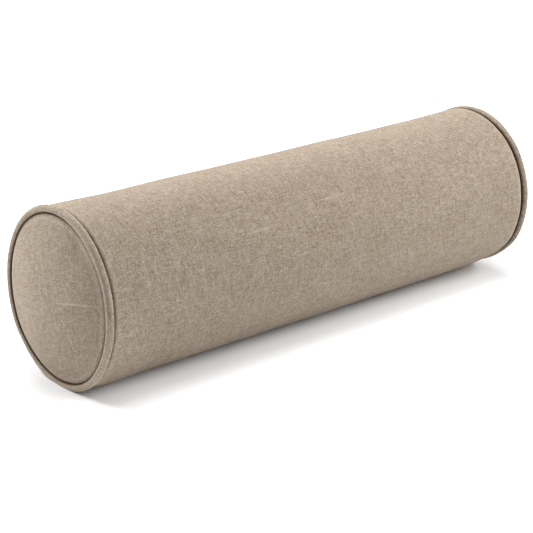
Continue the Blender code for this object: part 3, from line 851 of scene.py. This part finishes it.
# %% Make the piping
def seam_ring(side, steps, sides, thickness):
    """A torus that lies in the seam of one end."""
    deselect()
    bpy.ops.mesh.primitive_torus_add(
        major_segments=steps, minor_segments=sides,
        major_radius=RING_RADIUS, minor_radius=thickness,
        location=(side * SEAM_X, 0, AXIS_Z), rotation=(0, math.pi / 2, 0),
    )
    ring = bpy.context.object
    bpy.ops.object.transform_apply(location=True, rotation=True, scale=True)
    return ring


def make_piping(name, side, seed, node):
    ring = seam_ring(side, 288, 20, PIPE_RADIUS)
    flat = []
    for vertex in ring.data.vertices:
        y, z = vertex.co.y, vertex.co.z - AXIS_Z
        angle, radius = math.atan2(z, y), math.hypot(y, z)
        out, beside = radius - RING_RADIUS, (vertex.co.x - side * SEAM_X) * side
        around = math.atan2(out, beside)
        flat.append((angle, around))
        square = (abs(math.cos(around)) ** 2.5 + abs(math.sin(around)) ** 2.5) ** (-1 / 2.5)
        waver = noise.noise(Vector((math.cos(angle) * 7 + seed, math.sin(angle) * 7, seed)))
        knots = noise.noise(Vector((math.cos(angle) * 24, math.sin(angle) * 24 + seed, around)))
        size = PIPE_RADIUS * (0.965 * square + 0.018 * waver + 0.012 * knots)
        slow = Vector((math.cos(angle) * 3, math.sin(angle) * 3 + seed, 4.0))
        sway = 0.35 * MM * noise.noise(slow)
        new_radius = RING_RADIUS + size * math.sin(around)
        vertex.co = Vector((
            side * (SEAM_X + size * math.cos(around) + sway),
            new_radius * math.cos(angle),
            AXIS_Z + new_radius * math.sin(angle),
        ))
        vertex.co = settle(vertex.co)
    # Painted shade on the piping's sides towards the panel and the sleeve, and on its underside.
    shades, painted_lights = [], []
    for angle, around in flat:
        degrees = math.degrees(around) % 360
        panel_side = 0.85 * smooth_step((math.cos(math.radians(degrees + 75)) - 0.72) / 0.22)
        below = smooth_step((-math.sin(around) - 0.75) / 0.2)
        sleeve_side = smooth_step((degrees - 150) / 26) if degrees < 270 else 0.0
        shades.append(max(panel_side, below, sleeve_side))
        # Painted highlights along two ridges and on the left piping's top, which faces the light.
        # The right piping gets an even painted shade instead.
        ridges = [math.exp(-(((degrees - at + 180) % 360 - 180) / 13) ** 2) for at in (335, 122)]
        facing = math.cos(math.radians(degrees - 52))
        top = 0.45 * smooth_step((facing - 0.45) / 0.4) if side < 0 else -0.25
        painted_lights.append(max(0.75 * max(ridges), top) if side < 0 else 0.5 * max(ridges) + top)
    mark(ring, "seam_shade", shades)
    mark(ring, "painted_light", painted_lights)
    layer = ring.data.uv_layers.new(name="Cloth")
    bias = math.sqrt(0.5)
    for face in ring.data.polygons:
        first_angle, first_around = flat[ring.data.loops[face.loop_start].vertex_index]
        for index in face.loop_indices:
            angle, around = flat[ring.data.loops[index].vertex_index]
            angle += round((first_angle - angle) / (2 * math.pi)) * 2 * math.pi
            around += round((first_around - around) / (2 * math.pi)) * 2 * math.pi
            along, over = angle * RING_RADIUS, around * PIPE_RADIUS
            layer.data[index].uv = ((along + over) * bias, (along - over) * bias)
    keep_cloth_map(ring)
    finish_piece(ring, name, linen_piping, stands_for=(node,))


make_piping("left_piping", -1, 2.3, "left_piping_cover")
make_piping("right_piping", 1, 6.1, "right_piping_cover")

# %% [markdown]
# ## Inside the cover
#
# The cover is only a skin. Inside lies a separate insert: a thin cotton bag round a soft
# wadding, and in the middle a firm roll of foam. They are turned shapes, so each one is
# an outline drawn once and carried round the axis. They lean with the cover's ends.

# %% Turned soft pieces
def lathe(name, outline, steps=96):
    """Carries (x, radius) points round the axis. A radius of 0 makes a closed pole."""
    bm = bmesh.new()
    layer = bm.loops.layers.uv.new("Cloth")
    rings, run, ran = [], [0.0], 0.0
    for (x0, r0), (x1, r1) in zip(outline, outline[1:]):
        ran += math.hypot(x1 - x0, r1 - r0)
        run.append(ran)
    for x, radius in outline:
        if radius == 0:
            rings.append([bm.verts.new((x, 0, AXIS_Z))])
            continue
        turns = [2 * math.pi * step / steps for step in range(steps)]
        rings.append([
            bm.verts.new((x, radius * math.cos(t), AXIS_Z + radius * math.sin(t))) for t in turns])
    widest = max(radius for x, radius in outline)
    for number, (first, second) in enumerate(zip(rings, rings[1:])):
        for step in range(steps):
            corners = [(first, step, number), (second, step, number + 1),
                       (second, step + 1, number + 1), (first, step + 1, number)]
            kept = []
            for ring, turn, row in corners:
                vertex = ring[turn % len(ring)] if len(ring) > 1 else ring[0]
                if vertex not in [item[0] for item in kept]:
                    kept.append((vertex, (run[row], 2 * math.pi * widest * turn / steps)))
            face = bm.faces.new([item[0] for item in kept])
            for loop, (vertex, flat_place) in zip(face.loops, kept):
                loop[layer].uv = flat_place
    obj = from_bmesh(name, bm)
    for vertex in obj.data.vertices:
        vertex.co = settle(vertex.co)
    return obj


def bolster_outline(radius, end_x, crown, crown_radius):
    """From pole to pole: a straight roll whose ends are crowned like the cover's."""
    shares = [step / 14 for step in range(15)]
    right = [(end_x + crown * crown_bulge(share), crown_radius * share) for share in shares]
    straight = [(end_x * (1 - 2 * step / 24), radius) for step in range(25)]
    left = [(-x, r) for x, r in right[::-1]]
    return right + straight + left


TICKING_RADIUS = BODY_RADIUS - 5.6 * MM
TICKING_END = SEAM_X - 7.5 * MM
TICKING_CROWN = PANEL_CROWN + RIM_X - TICKING_END - 3.2 * MM
insert = lathe("insert_bag", bolster_outline(
    TICKING_RADIUS, TICKING_END, TICKING_CROWN, RIM_RADIUS - 8 * MM))
finish_piece(insert, "insert_bag", cotton,
             stands_for=("insert_case", "insert_left_end", "insert_right_end"))

wadding_piece = lathe("wadding_roll", bolster_outline(
    TICKING_RADIUS - 1.2 * MM, TICKING_END - 1.0 * MM, TICKING_CROWN - 1.5 * MM,
    RIM_RADIUS - 10 * MM))
finish_piece(wadding_piece, "wadding_roll", wadding,
             stands_for=("wadding_wrap", "left_wadding_pad", "right_wadding_pad"))

# %% [markdown]
# The foam is cut from a block with a round die, so it is a plain cylinder with a soft
# corner. A cylinder added at its size and bevelled is all it needs.

# %% The foam roll and the piping cords
deselect()
bpy.ops.mesh.primitive_cylinder_add(vertices=96, radius=82 * MM, depth=2 * (SEAM_X - 24 * MM),
                                    location=(0, 0, AXIS_Z), rotation=(0, math.pi / 2, 0))
foam_piece = bpy.context.object
bpy.ops.object.transform_apply(location=True, rotation=True, scale=True)
apply_modifier(foam_piece, "BEVEL", width=4 * MM, segments=4, limit_method="ANGLE")
finish_piece(foam_piece, "foam_roll", foam, stands_for=("foam_core",))
bpy.ops.object.shade_smooth_by_angle(angle=math.radians(40))


def make_cord(name, side, node):
    cord = seam_ring(side, 192, 12, 2.6 * MM)
    for vertex in cord.data.vertices:
        vertex.co = settle(vertex.co)
        vertex.co.z = max(vertex.co.z, 1.4 * MM)
    finish_piece(cord, name, cord_cotton, stands_for=(node,))


make_cord("left_cord", -1, "left_piping_cord")
make_cord("right_cord", 1, "right_piping_cord")

# %% [markdown]
# ## The zip
#
# A coil zip is two nylon spirals sewn to the edges of two tapes. Each spiral is one
# filament wound flat, and the turns of one row sit between the turns of the other. The
# path of a filament is a wave in two directions at once, so it is written as points, and
# a small ring of corners is carried along it.

# %% Sweep a filament along its path
COIL_ROW, COIL_PART, COIL_PITCH = 1.35 * MM, 2.85 * MM, 1.25 * MM
COIL_LEVEL = BODY_RADIUS - 4.5 * MM
SLIDER_X = (slider_low.x + slider_high.x) / 2


def on_zip(x, across, level):
    """A point beside the zip's line, across towards the top, at this height off the axis."""
    return Vector((x, level * math.cos(ZIP_ANGLE) - across * math.sin(ZIP_ANGLE),
                   AXIS_Z + level * math.sin(ZIP_ANGLE) + across * math.cos(ZIP_ANGLE)))


def sweep(bm, path, radius, sides=5):
    """Carries a small ring of corners along the path and closes both its ends."""
    rings = []
    for number, here in enumerate(path):
        before, after = path[max(number - 1, 0)], path[min(number + 1, len(path) - 1)]
        ahead = (after - before).normalized()
        one = ahead.cross(Vector((0.31, 0.2, 0.93))).normalized()
        other = ahead.cross(one)
        turns = [2 * math.pi * side / sides for side in range(sides)]
        rings.append([
            bm.verts.new(here + radius * (math.cos(t) * one + math.sin(t) * other)) for t in turns])
    for first, second in zip(rings, rings[1:]):
        for side in range(sides):
            after = (side + 1) % sides
            bm.faces.new((first[side], first[after], second[after], second[side]))
    bm.faces.new(rings[0][::-1])
    bm.faces.new(rings[-1])


def make_coil_row(name, side, node):
    start, end = -ZIP_HALF + 3.6 * MM, SLIDER_X + 9.2 * MM
    per_turn, path = 8, []
    for step in range(int((end - start) / COIL_PITCH * per_turn)):
        x = start + COIL_PITCH * step / per_turn
        turn = 2 * math.pi * step / per_turn
        parting = smooth_step((x - SLIDER_X + 5 * MM) / (11 * MM))
        middle = COIL_ROW + (COIL_PART - COIL_ROW) * parting
        shift = x + (COIL_PITCH / 2 if side > 0 else 0.0)
        across = side * (middle - 0.05 * MM - 1.15 * MM * math.cos(turn))
        path.append(on_zip(shift, across, COIL_LEVEL + 0.92 * MM * math.sin(turn)))
    bm = bmesh.new()
    sweep(bm, path, 0.27 * MM)
    row = from_bmesh(name, bm)
    finish_piece(row, name, coil_nylon, stands_for=(node,))


make_coil_row("upper_coil", 1, "zip_coil_upper")
make_coil_row("lower_coil", -1, "zip_coil_lower")

# %% [markdown]
# Each side of the zip is held by one row of stitches through the folded edge, and a few
# stitches across each end stop the slit from tearing further. A stitch is a short thread
# that dips into the cloth at both ends.

# %% Stitch the zip in
STITCH, THREAD = 3.3 * MM, 0.26 * MM
BESIDE = 5.2 * MM
STITCH_LEVEL, STITCH_SHARE = BODY_RADIUS - 0.02 * MM, 0.84


def stitch(bm, first, second, level):
    """One stitch between two (x, across) places, sunk into the cloth at its ends."""
    path = []
    for share, sunk in ((0.0, 0.75), (0.1, 0.15), (0.5, -0.12), (0.9, 0.15), (1.0, 0.75)):
        x = first[0] + (second[0] - first[0]) * share
        across = first[1] + (second[1] - first[1]) * share
        path.append(on_form(x, across / BODY_RADIUS, level - sunk * MM))
    sweep(bm, path, THREAD, sides=6)


def stitch_zip():
    bm = bmesh.new()
    reach = ZIP_HALF + 6 * MM
    count = int(2 * reach / STITCH)
    for side in (-1, 1):
        for number in range(count):
            x = -reach + (number + 0.08) * STITCH
            wander = side * 0.12 * MM * noise.noise(Vector((x * 60, side, 0)))
            place = side * BESIDE + wander
            stitch(bm, (x, place), (x + STITCH_SHARE * STITCH, place), STITCH_LEVEL)
    for end in (-1, 1):
        for number in range(3):
            start = -BESIDE + (number + 0.08) * 2 * BESIDE / 3
            x = end * reach
            stitch(bm, (x, start), (x, start + STITCH_SHARE * 2 * BESIDE / 3), STITCH_LEVEL)
    finish_piece(from_bmesh("zip_stitches", bm), "zip_stitches", thread)


stitch_zip()

# %% [markdown]
# The tapes, the stops, the slider and its pull already have their true shapes in the
# model, so they only need their finishes: a woven tape and a brown, worn metal.

# %% Finish the pieces that keep the model's own shapes
def dress(name, finish):
    node = bpy.data.objects[name]
    node.data.materials.clear()
    node.data.materials.append(finish)


for finish, names in (
    (tape_weave, ("zip_tape_upper", "zip_tape_lower")),
    (bronze, ("zip_bottom_stop", "zip_top_stop_upper", "zip_top_stop_lower", "zip_slider",
              "zip_pull")),
    (linen_cut, ("cover_sleeve", "left_end_panel", "right_end_panel", "left_piping_cover",
                 "right_piping_cover")),
    (cord_cotton, ("left_piping_cord", "right_piping_cord", "insert_case", "insert_left_end",
                   "insert_right_end")),
    (wadding, ("wadding_wrap", "left_wadding_pad", "right_wadding_pad")),
    (foam, ("foam_core",)),
    (coil_nylon, ("zip_coil_upper", "zip_coil_lower")),
):
    for name in names:
        dress(name, finish)
print("dressed the model's own pieces")

# %% [markdown]
# ## The room
#
# A white floor and wide soft light from above, as in a plain studio: the light wraps
# round the pillow. The floor also has a painted glow, though it is no lamp: it grows with
# the distance from the pillow and looks far brighter to the camera than the light it
# casts. Close to the pillow it is kept off, so the narrow dark line where the pillow
# touches the floor is partly real shadow and partly painted shade.

# %% Floor, lights and camera
FLOOR_COLOUR = (0.918, 0.93, 0.942, 1)
GLOW_NEAR, GLOW_FAR = 0.12, 0.15
SEEN_NEAR, SEEN_FAR = 0.29, 0.8
WORLD_LIGHT, WORLD_SEEN = 0.080, 0.92


def make_floor_finish():
    """White, with a painted glow, though it is no lamp: it grows with the distance from the
    pillow, is kept off close to it as painted shade, and is far brighter to the camera.
    """
    finish, tree, shader = new_finish("floor", roughness=1.0)
    shader["Base Color"].default_value = FLOOR_COLOUR
    at = parts_of(tree, tree.nodes.new("ShaderNodeTexCoord").outputs["Object"])
    beyond = calc(tree, "SUBTRACT", calc(tree, "ABSOLUTE", at[0]), SEAM_X)
    past_end = calc(tree, "POWER", calc(tree, "MAXIMUM", beyond, 0.0), 2.0)
    beside = calc(tree, "POWER", at[1], 2.0)
    from_pillow = calc(tree, "SQRT", calc(tree, "ADD", past_end, beside))
    # Painted shade close to the pillow: the glow is off within 2 cm of it and grows over the next
    # few centimetres.
    near_glow = spread(tree, from_pillow, 0.02, 0.10, 0.0, GLOW_NEAR)
    lit_glow = calc(tree, "ADD", near_glow, spread(tree, from_pillow, 0.25, 0.8, 0.0, GLOW_FAR))
    # Painted light that only the camera sees, much brighter than the glow that lights the pillow.
    seen_near = spread(tree, from_pillow, 0.02, 0.13, 0.0, SEEN_NEAR)
    seen_glow = calc(tree, "ADD", seen_near, spread(tree, from_pillow, 0.22, 0.8, 0.0, SEEN_FAR))
    seen = tree.nodes.new("ShaderNodeLightPath").outputs["Is Camera Ray"]
    shader["Emission Color"].default_value = (1, 1, 1, 1)
    glow = calc(tree, "MULTIPLY_ADD", seen_glow, seen, lit_glow)
    feed(tree, shader["Emission Strength"], glow)
    return finish


deselect()
bpy.ops.mesh.primitive_plane_add(size=80, location=(0, 0, 0))
floor = bpy.context.object
floor.name = "floor"
floor.data.materials.append(make_floor_finish())

world = bpy.data.worlds.new("studio")
world.use_nodes = True
backdrop = world.node_tree.nodes["Background"]
backdrop.inputs["Color"].default_value = (1, 1, 1, 1)
backdrop_seen = world.node_tree.nodes.new("ShaderNodeLightPath").outputs["Is Camera Ray"]
feed(world.node_tree, backdrop.inputs["Strength"],
     calc(world.node_tree, "MULTIPLY_ADD", backdrop_seen, WORLD_SEEN, WORLD_LIGHT))
bpy.context.scene.world = world
bpy.context.scene.view_settings.view_transform = "Standard"


def soft_box(name, place, aim, size, power):
    light = bpy.data.lights.new(name, "AREA")
    light.shape = "DISK"
    light.size = size
    light.energy = power
    lamp = bpy.data.objects.new(name, light)
    bpy.context.scene.collection.objects.link(lamp)
    lamp.location = place
    lamp.rotation_euler = (Vector(aim) - Vector(place)).to_track_quat("-Z", "Y").to_euler()


soft_box("window", (-0.9, 1.9, 1.4), (0, 0, 0.1), 1.4, 73)
soft_box("overhead", (0.3, 0.1, 2.3), (0, 0, 0.1), 1.8, 40)
soft_box("right_fill", (1.7, -1.1, 1.1), (0.2, 0, 0.1), 1.2, 38)

VIEW_AZIMUTH, VIEW_ELEVATION = math.radians(-41.77), math.radians(19.0)
VIEW_DISTANCE = 2.1462
target = Vector((-0.0279, 0, AXIS_Z - 0.0326))
back = Vector((
    math.sin(VIEW_AZIMUTH) * math.cos(VIEW_ELEVATION),
    -math.cos(VIEW_AZIMUTH) * math.cos(VIEW_ELEVATION),
    math.sin(VIEW_ELEVATION),
))
lens = bpy.data.cameras.new("camera")
lens.lens, lens.sensor_width = 121.2, 36
camera = bpy.data.objects.new("camera", lens)
bpy.context.scene.collection.objects.link(camera)
camera.location = target + back * VIEW_DISTANCE
camera.rotation_euler = (-back).to_track_quat("-Z", "Y").to_euler()
bpy.context.scene.camera = camera
print("camera at", [round(v, 3) for v in camera.location])
